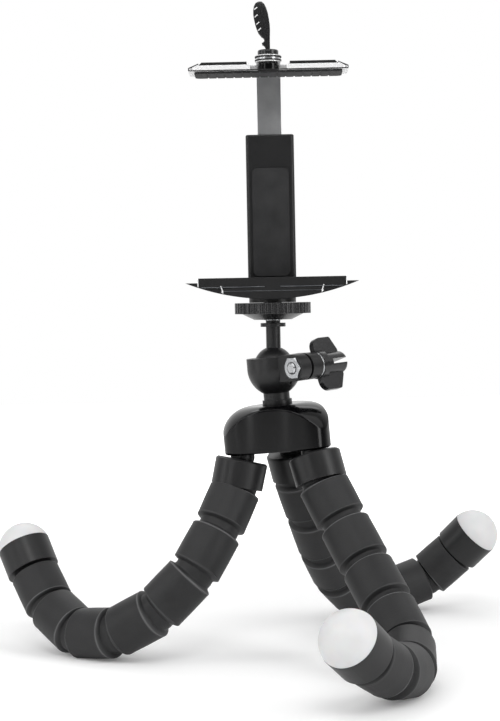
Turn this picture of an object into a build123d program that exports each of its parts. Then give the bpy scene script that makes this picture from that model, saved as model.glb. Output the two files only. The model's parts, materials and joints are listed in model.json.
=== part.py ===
from build123d import *
import math
import os

# Flexible leg tripod with a ball head and a phone clamp. Millimetres, +Z up, the front is -Y.
# Everything is drawn about the centre of the ball. At the end the finished pieces are moved so
# that the table is at Z = 0 and the origin is under the middle of the whole tripod.

os.makedirs("parts", exist_ok=True)

# How the tripod stands
hub_lean = 4.3  # degrees, the hub leans towards the left leg and the ball levels the clamp
hub_turn = -12.0  # degrees that the three lobes are turned about the hub's axis
leg_lobes = {"left": -150.0, "front": -30.0, "back": 90.0}  # degrees round the hub
quarter_turn = 90.0  # degrees
contact_squash = 0.5  # foam pressed flat where a leg lies on the table

# Heading and rise, in degrees, of the collar, the seven foam bulges and the ferrule of each leg
leg_bends = {
    "left": ((-158, -77), (-134, -56), (-145, -54), (-177, -45), (160, -28),
             (144, -6), (132, 24), (129, 46), (132, 55)),
    "front": ((-43, -70), (-41, -56), (-52, -49), (-61, -41), (-68, -36),
              (-94, -13), (-113, 11), (-124, 27), (-127, 37)),
    "back": ((42, -73), (55, -61), (66, -52), (67, -43), (62, -32),
             (41, -8), (19, 17), (-6, 41), (-24, 44)),
}

# Legs
foam_count = 7
foam_pitch = 17.9  # from groove to groove along the leg
foam_end_pitch = 16.4  # the first and last bulge are a little shorter
foam_radius = 8.8
foam_groove_radius = 7.1
foam_gap = 0.3  # between two bulges at their groove
foam_spigot_radius = 6.9
foam_spigot_length = 4.6
core_radius = 1.6  # bendable wire down the middle of the leg
core_clearance = 0.9
core_bend_radius = 22.0
core_anchor = 9.0  # wire held in the hub
settle_steps = 40  # halvings of the angle that is searched
settle_limit = 30.0
bend_room_share = 0.9  # of the room that a short run of the wire leaves for its bend
core_mouth_radius = 3.3  # bore of a spigot
core_end = 3.0  # wire past the last groove, in the ferrule
collar_length = 9.5
collar_top_radius = 9.1
collar_rim_radius = 9.0
collar_top_wall = 2.2
collar_edge = 0.6
collar_lean = 17.5  # degrees at which a collar meets the hub's rim
rim_clearance = 0.3
ferrule_length = 10.4
ferrule_radius = 9.5
ferrule_foot_radius = 9.4
ferrule_end_wall = 1.8
fit_clearance = 0.1
cap_height = 7.8
cap_rim = 0.5
cap_spigot_radius = 3.0
cap_spigot_length = 1.6

# How a bulge swells from its groove: share of its length, share of the step up from the groove
lean_share = 0.18  # of a drum's length, over which its end rings lean
bulge_swell_shares = (
    (0, 0), (0.07, 0), (0.12, 0.8), (lean_share, 1),
    (1 - lean_share, 1), (0.88, 0.8), (0.93, 0), (1, 0),
)

# Hub
hub_height = 16.0
leg_reach = 14.5  # from the hub's axis to a leg's hinge
hinge_offset = 2.0  # that a leg's hinge lies beyond the middle of its lobe
lobe_reach = leg_reach - hinge_offset  # from the hub's axis to the middle of a lobe
lobe_radius = 7.9
dome_arc_radius = 11.0
dome_overhang = 0.1  # that the dome's arc ends beyond the tips of the lobes
dome_flat_radius = lobe_reach + lobe_radius + dome_overhang - dome_arc_radius
hub_crest_fillet = 0.7
hub_foot_fillet = 0.8
hub_wall = 2.0
hub_ledge = 0.8
base_plate_thickness = 4.2
base_plate_gap = 0.15
hub_boss_radius = 4.8
lobe_boss_radius = 3.4
leg_ball_radius = 4.2  # ball on top of a collar
leg_ball_play = 6.0  # degrees that the wire's flared hole is wider than the lean

# Ball head
ball_radius = 6.9
ball_clearance = 0.1
stem_radius = 2.54
socket_rim_height = 3.2
socket_radius = 9.4
socket_waist_radius = 8.3
socket_waist_drop = 5.3
neck_radius = 4.55
neck_top_drop = 9.3
neck_flange_radius = 5.2
neck_flange_height = 1.5
hub_top_drop = 13.3  # from the ball's centre to the top of the hub
head_screw_radius = 2.0
head_screw_bite = 4.9
head_screw_head_radius = 3.7
head_screw_head_height = 2.2
drive_depth_share = 0.6  # of the screw's head
head_screw_drive = 2.5  # across the flats of its hexagon recess
thread_clearance = 0.05
seat_depth_clearance = 0.2

# Split lug and wing screw. The screw's axis is level in the hub's frame
screw_heading = 43.0  # degrees
lug_reach = 15.0
lug_radius = 4.6
lug_near = 5.1  # from the slot to the face with the nut
lug_far = 5.2
lug_slot = 1.0
lug_slot_drop = 5.8
lug_drop = 0.8  # of the screw below the ball's centre
bolt_radius = 2.0
bolt_hole_clearance = 0.15
nut_flats = 7.0
nut_thickness = 3.0
nut_chamfer_slope = 0.6  # height over width
nut_pocket_depth = 2.4
nut_pocket_clearance = 0.1
bolt_tip = 0.6
washer_radius = 4.6
washer_thickness = 0.8
wing_collar_radius = 4.9
wing_collar_length = 2.5
wing_hub_radius = 3.9
wing_hub_length = 10.0
wing_hub_dome = 1.6
wing_slot_height = 1.8
wing_thickness = 2.3
wing_turn = -14.0  # degrees about the screw
wing_span = 9.3
wing_inner_gap = 0.6
wing_back_reach = 2.4
wing_front_reach = 6.0
wing_back_fillet = 3.4
wing_front_fillet = 0.9
bolt_head_radius = 3.0
bolt_head_height = 2.4
clearance = 0.1

# Stem, lock disc and stud
flange_low = 13.8
flange_radius = 4.38
flange_thickness = 1.3
stem_top = 16.1
stud_radius = 3.17
stud_root_radius = 1.5
stud_root_depth = 9.0
stud_top = 27.4
stud_chamfer = 0.5
disc_low = 16.3
disc_cone_low_radius = 6.6
disc_cone_top_radius = 10.9
disc_cone_height = 2.1
disc_radius = 13.3
disc_band_height = 3.8
disc_flute_radius = 0.75
disc_flute_count = 40

# Phone clamp, lower half
jaw_gap = 71.0  # between the pads as shown
jaw_depth = 21.0
jaw_front = 10.5  # from the stud's axis forward to the jaw's face
lower_jaw_low = 22.3
lower_boss_radius = 8.2
lower_boss_height = 1.2
lower_jaw_top = 29.4
lower_jaw_width = 60.0
jaw_corner_fillet = 2.5
lip_height = 1.6
lip_thickness = 1.4
panel_relief = 0.7  # of the front panels before the boat-shaped body
panel_height = 1.4  # of the lip below the jaw's deck
keel_width = 36.0
lower_groove_height = 0.6
lower_tab_width = 4.8
pad_width = 51.0
pad_thickness = 0.8
pad_rib = 0.5
pad_rib_pitch = 3.0
pad_corner = 2.0
pad_seat = 0.05
spine_width = 17.0
spine_front = 5.0
spine_depth = 7.0
spine_rise = 52.0  # above the lower jaw
spine_edge = 1.2
strip_width = 8.4
strip_thickness = 1.4
strip_clearance = 0.2
strip_inset = 2.2  # from the spine's front to its channel
cover_thickness = 1.6
cover_inset = 1.4
cover_screw_radius = 1.4
cover_screw_head = 0.6
cover_screw_length = 4.0
cover_screw_spacing = 36.0
back_pad_height = 38.0
back_pad_width = 13.0
back_pad_thickness = 0.8
insert_flats = 11.1  # hexagon insert with the standard quarter inch thread
insert_thickness = 4.6
insert_floor = 24.3
spring_length = 16.0
spring_bow = 0.7
spring_thickness = 0.3
spring_width = 6.0

# Phone clamp, upper half
upper_jaw_width = 55.0
upper_jaw_thickness = 2.4
upper_jaw_depth = 16.0
jaw_notch_width = 12.6
jaw_notch_depth = 6.0
thumb_setback = 5.0  # from the jaw's face to the thumb screw
jaw_boss_radius = 3.7
jaw_boss_height = 3.1
jaw_boss_dome = 0.7
jaw_end_run = 3.5  # slope at the ends of the upper jaw
jaw_end_drop = 1.4
trim_inset = 1.1  # from the notch to the strip
trim_length = 16.5
trim_height = 1.0
trim_depth = 2.2
jaw_washer_radius = 4.4
jaw_washer_thickness = 0.5
strip_bend_radius = 2.4
strip_tail = 47.0  # strip below the upper jaw's pad
thumb_collar_radius = 3.6
thumb_collar_height = 1.9
thumb_collar_fillet = 0.7
thumb_shank_radius = 1.5
thumb_head_radius = 2.4
thumb_head_height = 0.9
thumb_neck_radius = 0.8
thumb_neck_height = 5.4
thumb_spur = 1.5
thumb_spur_radius = 0.4
thumb_spur_rise = 20.0  # degrees
paddle_length = 12.6
paddle_width = 5.6
paddle_thickness = 1.8
paddle_lean = 13.0  # degrees
paddle_sink = 1.0
paddle_rib_radius = 0.45
paddle_rib_count = 4
paddle_rib_pitch = 2.3
paddle_rib_slant = 55.0  # degrees

hexagon_sides = 6
half_turn = 180.0


standing = (Align.CENTER, Align.CENTER, Align.MIN)
centred_behind = (Align.CENTER, Align.MIN, Align.CENTER)
standing_behind = (Align.CENTER, Align.MIN, Align.MIN)
standing_before = (Align.CENTER, Align.MAX, Align.MIN)
hanging = (Align.CENTER, Align.CENTER, Align.MAX)
hanging_behind = (Align.CENTER, Align.MIN, Align.MAX)


def heading_vector(heading, rise=0.0):
    """A unit vector from its heading and rise in degrees."""
    level = math.cos(math.radians(rise))
    x = level * math.cos(math.radians(heading))
    y = level * math.sin(math.radians(heading))
    return Vector(x, y, math.sin(math.radians(rise)))


lean = Rot(Y=-hub_lean)


def leaned(point):
    """A point of the hub's own frame, in the tripod's frame."""
    return (lean * Pos(point)).position


def turned_solid(outline):
    """A solid of revolution about Z from points given as radius and height."""
    face = make_face(Polyline(*[(radius, 0, height) for radius, height in outline], close=True))
    return revolve(face, Axis.Z)


def rod(start, direction, radius, length):
    """A round bar that starts at a point."""
    plane = Plane(origin=start, z_dir=direction)
    return extrude(plane * Circle(radius), length)


# Legs

hub_floor = -hub_top_drop - hub_height
rim_reach = lobe_reach + lobe_radius - leg_reach  # from a leg's hinge out to the hub's rim
hub_gap_share = (1 + math.cos(math.radians(collar_lean))) / 2
hub_gap = (rim_reach * math.sin(math.radians(collar_lean)) + rim_clearance) / hub_gap_share


def lobe_point(leg, reach, height):
    """A point on a lobe's radius in the hub's own frame."""
    side = heading_vector(hub_turn + leg_lobes[leg])
    return Vector(side.X * reach, side.Y * reach, height)


def piece_lengths():
    """Lengths along the leg from the hub's hinge: collar, bulges, ferrule."""
    bulges = [foam_end_pitch] + [foam_pitch] * (foam_count - 2) + [foam_end_pitch]
    return [hub_gap / 2 + collar_length] + bulges + [ferrule_length]


def leg_line(leg, settle):
    """Points and directions of a leg's pieces, with every bulge lowered by an angle."""
    directions = []
    for number, (heading, rise) in enumerate(leg_bends[leg]):
        directions.append(heading_vector(heading, rise if number == 0 else rise - settle))
    points = [leaned(lobe_point(leg, leg_reach, hub_floor - hub_gap / 2))]
    for direction, length in zip(directions, piece_lengths()):
        points.append(points[-1] + direction * length)
    return points, directions


def groove_normals(directions):
    """The leg's direction at each groove, halfway between its two neighbours."""
    normals = [directions[0]]
    for before, after in zip(directions[1:-2], directions[2:-1]):
        normals.append((before + after).normalized())
    normals.append(directions[-1])
    return normals


def drum_ring(start, end, start_direction, end_direction, share):
    """Middle and direction of a ring on a straight drum whose end rings lean to meet the next drum."""
    drum = (end - start).normalized()
    square = min(share, 1 - share, lean_share) / lean_share
    edge = start_direction if share < 0.5 else end_direction
    return start + (end - start) * share, (edge * (1 - square) + drum * square).normalized()


def leg_bulges(points, directions):
    """Start, end and end directions of each foam bulge."""
    normals = groove_normals(directions)
    spans = []
    for number in range(foam_count):
        start = points[number + 1] + normals[number] * (foam_gap / 2)
        end = points[number + 2] - normals[number + 1] * (foam_gap / 2)
        spans.append((start, end, normals[number], normals[number + 1]))
    return spans


def bulge_rings(span):
    """Centre, direction and radius of the sections of a bulge."""
    rings = []
    for along, swell in bulge_swell_shares:
        point, direction = drum_ring(*span, along)
        rings.append((point, direction, foam_groove_radius + swell * (foam_radius - foam_groove_radius)))
    return rings


def lowest_ring(span):
    """Height of the lowest point of a bulge."""
    heights = []
    for point, direction, radius in bulge_rings(span):
        heights.append(point.Z - radius * math.sqrt(1 - direction.Z**2))
    return min(heights)


def lowest_point(leg, settle):
    """Height of the lowest foam of a leg."""
    points, directions = leg_line(leg, settle)
    return min(lowest_ring(span) for span in leg_bulges(points, directions))


def settle_angle(leg, floor):
    """How far a leg is bent down so that it lies on the same table as the left one."""
    low, high = -settle_limit, settle_limit
    for _ in range(settle_steps):
        middle = (low + high) / 2
        if lowest_point(leg, middle) > floor:
            low = middle
        else:
            high = middle
    return (low + high) / 2


def rings_loft(places, radii):
    """Ruled loft through circles, given their centres, directions and radii."""
    across = (places[-1][0] - places[0][0]).cross(Vector(0, 0, 1)).normalized()
    rings = []
    for (point, direction), radius in zip(places, radii):
        side = (across - direction * across.dot(direction)).normalized()
        rings.append(Plane(origin=point, x_dir=side, z_dir=direction) * Circle(radius))
    return loft(rings, ruled=True)


def foam_bulge(span, table):
    """One bulge of the foam sleeve, bent with the leg, flattened where it lies on the table."""
    rings = bulge_rings(span)
    bulge = rings_loft([ring[:2] for ring in rings], [ring[2] for ring in rings])
    if lowest_ring(span) < table:
        size = 2 * foam_pitch
        below = Box(size, size, size, align=hanging)
        middle = (span[0] + span[1]) / 2
        bulge = bulge - Pos(middle.X, middle.Y, table) * below
    return bulge


def core_bore(start, end):
    """Bore for the core wire through a bulge, longer than it at both ends."""
    axis = (end - start).normalized()
    return rod(start - axis * foam_groove_radius, axis, core_radius + core_clearance,
               (end - start).length + 2 * foam_groove_radius)


def spigot_bore(point, direction):
    """Wider bore through a spigot, where the core wire turns towards the hub or the foot."""
    overrun = core_clearance / 2
    return rod(point - direction * overrun, direction, core_mouth_radius, foam_spigot_length + 2 * overrun)


def collar(point, direction):
    """Glossy collar at the top of a leg: a cup that takes the foam's end."""
    plane = Plane(origin=point + direction * (hub_gap / 2), z_dir=direction)
    cup_radius = foam_spigot_radius + fit_clearance
    outline = [
        (core_radius + core_clearance / 2, 0),
        (collar_top_radius - collar_edge, 0),
        (collar_top_radius, collar_edge),
        (collar_rim_radius, collar_length),
        (cup_radius, collar_length),
        (cup_radius, collar_top_wall),
        (core_radius + core_clearance / 2, collar_top_wall),
    ]
    bore_radius = core_radius + core_clearance / 2
    mouth_radius = bore_radius + leg_ball_radius * math.tan(math.radians(collar_lean + leg_ball_play))
    ball = Sphere(leg_ball_radius) - extrude(Circle(bore_radius), 2 * leg_ball_radius, both=True)
    flare = Cone(mouth_radius, bore_radius, leg_ball_radius, align=standing)
    ball = ball - Pos(0, 0, -leg_ball_radius) * flare
    return plane * turned_solid(outline) + Plane(origin=point, z_dir=direction) * ball


def ferrule(point, direction):
    """Glossy cup on the lower end of a leg, open for the cap's spigot."""
    plane = Plane(origin=point, z_dir=direction)
    cup_radius = foam_spigot_radius + fit_clearance
    hole_radius = cap_spigot_radius + fit_clearance
    outline = [
        (cup_radius, foam_gap / 2),
        (ferrule_foot_radius, foam_gap / 2),
        (ferrule_radius, ferrule_length),
        (hole_radius, ferrule_length),
        (hole_radius, ferrule_length - ferrule_end_wall),
        (cup_radius, ferrule_length - ferrule_end_wall),
    ]
    return plane * turned_solid(outline)


def foot_cap(point, direction):
    """Domed cap on the end of a leg."""
    rim_radius = ferrule_radius - fit_clearance
    dome_radius = (rim_radius**2 + cap_height**2) / (2 * cap_height)
    drum = extrude(Circle(rim_radius), cap_rim + cap_height)
    dome = drum & Pos(0, 0, cap_rim + cap_height - dome_radius) * Sphere(dome_radius)
    spigot = extrude(Circle(cap_spigot_radius), -cap_spigot_length)
    return Plane(origin=point, z_dir=direction) * (dome + spigot)


def core_wire(leg, points, directions):
    """The bendable wire that runs from the hub to the ferrule."""
    anchor = leaned(lobe_point(leg, leg_reach, hub_floor + core_anchor))
    tip = points[-2] + directions[-1] * core_end
    route = [anchor] + points[:-1] + [tip]
    path = FilletPolyline(*route, radius=wire_bend_radii(route))
    return sweep(Plane(origin=path @ 0, z_dir=path % 0) * Circle(core_radius), path=path)


def wire_bend_radii(route):
    """Bend radii of the wire, limited where a short run has no room for them."""
    radii = []
    for before, here, after in zip(route[:-2], route[1:-1], route[2:]):
        turn = math.radians((here - before).get_angle(after - here))
        room = min((here - before).length, (after - here).length) / 2
        radii.append(min(core_bend_radius, bend_room_share * room / math.tan(turn / 2)))
    return radii


def leg_parts(leg, settle, table):
    """All pieces of one leg."""
    points, directions = leg_line(leg, settle)
    parts = {f"{leg}_collar": collar(points[0], directions[0])}
    spigots = {0: -directions[0], foam_count - 1: directions[-1]}
    for number, span in enumerate(leg_bulges(points, directions)):
        bulge = foam_bulge(span, table)
        if number in spigots:
            root = span[0] if number == 0 else span[1]
            bulge = bulge + rod(root, spigots[number], foam_spigot_radius, foam_spigot_length)
        bulge = bulge - core_bore(points[number + 1], points[number + 2])
        if number in spigots:
            bulge = bulge - spigot_bore(root, spigots[number])
        parts[f"{leg}_foam_{number + 1}"] = bulge
    parts[f"{leg}_ferrule"] = ferrule(points[-2], directions[-1])
    parts[f"{leg}_foot_cap"] = foot_cap(points[-1], directions[-1])
    parts[f"{leg}_core_wire"] = core_wire(leg, points, directions)
    return parts


# Hub

def hub_form(inset):
    """The three-lobed dome, drawn in by an inset, standing on Z = 0."""
    corners = [lobe_point(leg, lobe_reach, 0) for leg in leg_lobes]
    plan = offset(make_face(Polyline(*corners, close=True)), amount=lobe_radius - inset)
    prism = extrude(plan, hub_height)
    arc_centre = hub_height - dome_arc_radius
    arc_radius = dome_arc_radius - inset
    half_share = math.sqrt(0.5)
    middle = (dome_flat_radius + arc_radius * half_share, 0, arc_centre + arc_radius * half_share)
    outline = Polyline((0, 0, arc_centre + arc_radius), (0, 0, 0), (dome_flat_radius + arc_radius, 0, 0),
                       (dome_flat_radius + arc_radius, 0, arc_centre))
    arc = ThreePointArc((dome_flat_radius + arc_radius, 0, arc_centre), middle,
                        (dome_flat_radius, 0, arc_centre + arc_radius))
    flat = Line((dome_flat_radius, 0, arc_centre + arc_radius), (0, 0, arc_centre + arc_radius))
    dome = revolve(make_face(Curve() + [outline, arc, flat]), Axis.Z)
    return prism & dome


def hub_housing():
    """Hollow three-lobed hub with bosses for the head screw and the core wires."""
    form = hub_form(0)
    crest = form.edges().filter_by(lambda edge: edge.center().Z > 0)
    form = fillet(crest, hub_crest_fillet)
    form = fillet(form.faces().sort_by(Axis.Z)[0].edges(), hub_foot_fillet)
    plate_space = hub_form(hub_wall) & Box(4 * lobe_reach, 4 * lobe_reach, 2 * base_plate_thickness)
    cavity = hub_form(hub_wall + hub_ledge)
    bosses = extrude(Circle(hub_boss_radius), hub_height)
    for leg in leg_lobes:
        bosses = bosses + Pos(lobe_point(leg, leg_reach, 0)) * extrude(Circle(lobe_boss_radius), hub_height)
    cavity = cavity - bosses
    housing = form - cavity - plate_space
    housing = housing - extrude(Circle(head_screw_radius + clearance), hub_height)
    for leg in leg_lobes:
        bore = extrude(Circle(core_radius + clearance), core_anchor + clearance)
        housing = housing - Pos(lobe_point(leg, leg_reach, 0)) * bore - leg_cup(leg)
    return lean * Pos(0, 0, hub_floor) * housing


def leg_cup(leg):
    """Round hollow under the hub for the ball of a collar."""
    return Pos(lobe_point(leg, leg_reach, -hub_gap / 2)) * Sphere(leg_ball_radius + clearance)


def hub_base_plate():
    """Plate that closes the hub from below, with a cup over each leg."""
    layer = Box(4 * lobe_reach, 4 * lobe_reach, 2 * base_plate_thickness)
    plate = hub_form(hub_wall + base_plate_gap) & layer
    for leg in leg_lobes:
        bore = extrude(Circle(core_radius + core_clearance / 2), base_plate_thickness)
        plate = plate - Pos(lobe_point(leg, leg_reach, 0)) * bore - leg_cup(leg)
    plate = plate - extrude(Circle(head_screw_radius + clearance), base_plate_thickness)
    plate = plate - extrude(Circle(head_screw_head_radius + clearance), head_screw_head_height + clearance)
    return lean * Pos(0, 0, hub_floor) * plate


def head_screw():
    """Screw from below that holds the ball head on the hub."""
    shank_top = hub_height + head_screw_bite
    screw = Pos(0, 0, clearance) * extrude(Circle(head_screw_head_radius), head_screw_head_height)
    screw = screw + extrude(Circle(head_screw_radius), shank_top)
    drive = RegularPolygon(head_screw_drive / 2, hexagon_sides, major_radius=False)
    screw = screw - extrude(drive, head_screw_head_height * drive_depth_share + clearance)
    return lean * Pos(0, 0, hub_floor) * screw


# Ball head

screw_axis = heading_vector(screw_heading)
lug_side = heading_vector(screw_heading - quarter_turn)
lug_centre = lug_side * lug_reach - Vector(0, 0, lug_drop)
screw_plane = Plane(origin=lug_centre, x_dir=(0, 0, 1), z_dir=screw_axis)


def along_screw(shape, distance=0.0):
    """Put a shape drawn along Z on the wing screw's axis."""
    return screw_plane * Pos(0, 0, distance) * shape


def ball_socket():
    """Bowl with its neck, the split lug and the pocket of the nut."""
    bowl_line = Polyline((0, 0, socket_rim_height), (0, 0, -hub_top_drop),
                         (neck_flange_radius, 0, -hub_top_drop),
                         (neck_flange_radius, 0, -hub_top_drop + neck_flange_height),
                         (neck_radius, 0, -hub_top_drop + neck_flange_height),
                         (neck_radius, 0, -neck_top_drop))
    side = ThreePointArc((neck_radius, 0, -neck_top_drop), (socket_waist_radius, 0, -socket_waist_drop),
                         (socket_radius, 0, 0))
    rim = Polyline((socket_radius, 0, 0), (socket_radius, 0, socket_rim_height), (0, 0, socket_rim_height))
    bowl = revolve(make_face(Curve() + [bowl_line, side, rim]), Axis.Z)
    lug_length = lug_near + lug_far
    barrel = along_screw(extrude(Circle(lug_radius), lug_length), -lug_near)
    web = Box(2 * lug_radius, lug_reach, lug_length, align=standing_behind)
    inward = 1 if screw_plane.y_dir.dot(lug_side) < 0 else -1
    web = along_screw(Rot(Z=0 if inward > 0 else half_turn) * web, -lug_near)
    keep_out = Cylinder(socket_radius - ball_clearance, 2 * lug_reach)
    web = web - keep_out
    body = bowl + barrel + web - Sphere(ball_radius + ball_clearance)
    slot = Box(lug_slot_drop + 2 * lug_radius, 2 * lug_reach, lug_slot,
               align=(Align.MIN, Align.CENTER, Align.CENTER))
    slot = along_screw(Pos(-lug_slot_drop, 0, 0) * slot)
    body = body - slot
    hole = along_screw(extrude(Circle(bolt_radius + bolt_hole_clearance), 2 * lug_length), -lug_length)
    pocket_form = nut_hexagon(nut_pocket_clearance)
    pocket = along_screw(extrude(pocket_form, nut_pocket_depth + clearance), -lug_near - clearance)
    screw_hole = extrude(Circle(head_screw_radius + thread_clearance), head_screw_bite + seat_depth_clearance)
    body = body - hole - pocket - Pos(0, 0, -hub_top_drop) * screw_hole
    return lean * body


def nut_hexagon(margin):
    """The nut's outline with two of its flats level, widened by a margin."""
    hexagon = RegularPolygon(nut_flats / 2 + margin, hexagon_sides, major_radius=False)
    return Rot(Z=half_turn / hexagon_sides) * hexagon


def clamp_nut():
    """Hexagon nut held in the lug, chamfered on its outer side."""
    nut = extrude(nut_hexagon(0), nut_thickness)
    chamfer_cone = Cone(nut_flats / 2, nut_flats / 2 + nut_thickness / nut_chamfer_slope, nut_thickness,
                        align=standing)
    nut = nut & chamfer_cone
    nut = nut - extrude(Circle(bolt_radius + thread_clearance), nut_thickness)
    return lean * along_screw(nut, -lug_near + nut_pocket_depth - nut_thickness)


def clamp_bolt():
    """Bolt of the wing screw, from the nut to its head inside the wing handle."""
    start = -lug_near + nut_pocket_depth - nut_thickness - bolt_tip
    head_start = lug_far + washer_thickness + wing_collar_length
    bolt = extrude(Circle(bolt_radius), head_start - start + bolt_head_height)
    tip_edge = bolt.faces().sort_by(Axis.Z)[0].edges()
    bolt = chamfer(tip_edge, bolt_radius / 4)
    bolt = bolt + Pos(0, 0, head_start - start) * extrude(Circle(bolt_head_radius), bolt_head_height)
    return lean * along_screw(bolt, start)


def wing_washer():
    """Thin washer between the lug and the wing handle."""
    ring = Circle(washer_radius) - Circle(bolt_radius + clearance)
    washer = extrude(ring, washer_thickness - 2 * thread_clearance)
    return lean * along_screw(washer, lug_far + thread_clearance)


def wing_face(start):
    """Side view of one wing, away from the screw along X and along the screw in Z."""
    inner = wing_hub_radius + wing_inner_gap
    back = start - wing_back_reach
    front = start + wing_front_reach
    root = start + wing_thickness / 2
    tip = start + wing_hub_length - wing_hub_dome
    outline = (
        (0, root), (inner, root), (inner, back), (wing_span, back),
        (wing_span, front), (inner, tip), (0, tip),
    )
    face = make_face(Polyline(*[(away, 0, along) for away, along in outline], close=True))
    back_tip = face.vertices().sort_by_distance((wing_span, 0, back))[0]
    face = fillet(back_tip, wing_back_fillet)
    front_tip = face.vertices().sort_by_distance((wing_span, 0, front))[0]
    return fillet(front_tip, wing_front_fillet)


def wing_handle():
    """Moulded handle with two wings, a forked hub and a collar."""
    start = lug_far + washer_thickness
    hub_start = start + wing_collar_length
    handle = Pos(0, 0, start) * extrude(Circle(wing_collar_radius), wing_collar_length)
    hub = extrude(Circle(wing_hub_radius), wing_hub_length)
    hub = fillet(hub.faces().sort_by(Axis.Z)[-1].edges(), wing_hub_dome)
    handle = handle + Pos(0, 0, hub_start) * hub
    blade = extrude(wing_face(hub_start), wing_thickness / 2, both=True)
    handle = handle + blade + Rot(Z=half_turn) * blade
    fork_start = hub_start + bolt_head_height + clearance
    fork = Box(wing_slot_height, 4 * wing_hub_radius, wing_hub_length, align=standing)
    handle = handle - Pos(0, 0, fork_start) * fork
    bolt_space = extrude(Circle(bolt_radius + thread_clearance), wing_collar_length)
    head_space = extrude(Circle(bolt_head_radius + thread_clearance), bolt_head_height + clearance)
    handle = handle - Pos(0, 0, start) * bolt_space - Pos(0, 0, hub_start) * head_space
    return lean * along_screw(Rot(Z=wing_turn) * handle)


def ball_stem():
    """Ball with its slim stem and flange, bored for the stud."""
    stem = Sphere(ball_radius) + extrude(Circle(stem_radius), stem_top)
    stem = stem + Pos(0, 0, flange_low) * extrude(Circle(flange_radius), flange_thickness)
    root = extrude(Circle(stud_root_radius + thread_clearance), stud_root_depth)
    return stem - Pos(0, 0, stem_top - stud_root_depth) * root


def mount_stud():
    """Quarter inch stud above the stem, with its root moulded into the stem."""
    thread = extrude(Circle(stud_radius), stud_top - stem_top)
    thread = chamfer(thread.faces().sort_by(Axis.Z)[-1].edges(), stud_chamfer)
    root = Pos(0, 0, -stud_root_depth) * extrude(Circle(stud_root_radius), stud_root_depth)
    return Pos(0, 0, stem_top) * (thread + root)


def lock_disc():
    """Fluted disc on the stud that locks the clamp, coned below."""
    bore_radius = stud_radius + clearance
    cone = turned_solid([
        (bore_radius, 0),
        (disc_cone_low_radius, 0),
        (disc_cone_top_radius, disc_cone_height),
        (bore_radius, disc_cone_height),
    ])
    flutes = PolarLocations(disc_radius + disc_flute_radius / 3, disc_flute_count) * Circle(disc_flute_radius)
    band = Circle(disc_radius) - flutes - Circle(bore_radius)
    disc = cone + Pos(0, 0, disc_cone_height) * extrude(band, disc_band_height)
    return Pos(0, 0, disc_low) * disc


# Phone clamp, lower half

pad_face = lower_jaw_top + pad_thickness
spine_top = lower_jaw_top + spine_rise
upper_pad_face = pad_face + jaw_gap
upper_jaw_low = upper_pad_face + pad_thickness
channel_front = spine_front + strip_inset
strip_front = channel_front + strip_clearance / 2


def lower_jaw():
    """Boat-shaped jaw with a front lip, the screw boss and the upright spine."""
    half = lower_jaw_width / 2
    belly = lower_jaw_low + lower_boss_height
    arc = ThreePointArc((-half, 0, lower_jaw_top), (0, 0, belly), (half, 0, lower_jaw_top))
    deck = Line((half, 0, lower_jaw_top), (-half, 0, lower_jaw_top))
    outline = make_face(Curve() + [arc, deck])
    back = jaw_depth - jaw_front
    boat = extrude(Plane.XZ.offset(-back) * Plane.XZ.to_local_coords(outline), jaw_depth - panel_relief)
    lip = Box(pad_width, lip_thickness, lip_height + panel_height, align=standing_behind)
    lip = Pos(0, -jaw_front, lower_jaw_top - panel_height) * lip
    keel_top = lower_jaw_top - panel_height - lower_groove_height
    keel_form = Box(keel_width, lip_thickness, keel_top - lower_jaw_low, align=hanging_behind)
    keel = extrude(Plane.XZ.offset(-back) * Plane.XZ.to_local_coords(outline), jaw_depth)
    keel = keel & Pos(0, -jaw_front, keel_top) * keel_form
    tab = Box(lower_tab_width, lip_thickness, 2 * lower_groove_height, align=centred_behind)
    tab = Pos(0, -jaw_front, keel_top) * tab
    boss = Pos(0, 0, lower_jaw_low) * extrude(Circle(lower_boss_radius), 2 * lower_boss_height)
    spine_back = spine_front + spine_depth
    spine = Box(spine_width, spine_depth, spine_top - belly - lower_boss_height,
                align=standing_behind)
    spine = fillet(spine.edges().filter_by(Axis.Z), spine_edge)
    spine = fillet(spine.faces().sort_by(Axis.Z)[-1].edges(), spine_edge / 2)
    jaw = boat + lip + keel + tab + boss
    jaw = jaw + Pos(0, spine_front, belly + lower_boss_height) * spine
    channel_height = spine_top - pad_face
    channel = Box(strip_width + strip_clearance, spine_back - channel_front, channel_height,
                  align=standing_behind)
    jaw = jaw - Pos(0, channel_front, pad_face) * channel
    rebate = Box(spine_width - 2 * cover_inset, cover_thickness, channel_height - 2 * cover_inset,
                 align=standing_before)
    jaw = jaw - Pos(0, spine_back, pad_face + cover_inset) * rebate
    hexagon = RegularPolygon(insert_flats / 2 + clearance, hexagon_sides, major_radius=False)
    jaw = jaw - Pos(0, 0, insert_floor) * extrude(hexagon, lower_jaw_top - insert_floor)
    jaw = jaw - Pos(0, 0, lower_jaw_low) * extrude(Circle(stud_radius + clearance), jaw_depth / 2)
    for place in cover_screw_places():
        hole = rod(place, Vector(0, -1, 0), cover_screw_radius + thread_clearance, cover_screw_length)
        jaw = jaw - hole
    return jaw


def cover_screw_places():
    """Where the two small screws of the spine's cover start."""
    middle = (pad_face + spine_top) / 2
    back = spine_front + spine_depth
    side = (strip_width + strip_clearance) / 2
    beside = side + (spine_width / 2 - cover_inset - side) / 2
    return [Vector(beside, back, middle + step * cover_screw_spacing / 2) for step in (-1, 1)]


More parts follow.
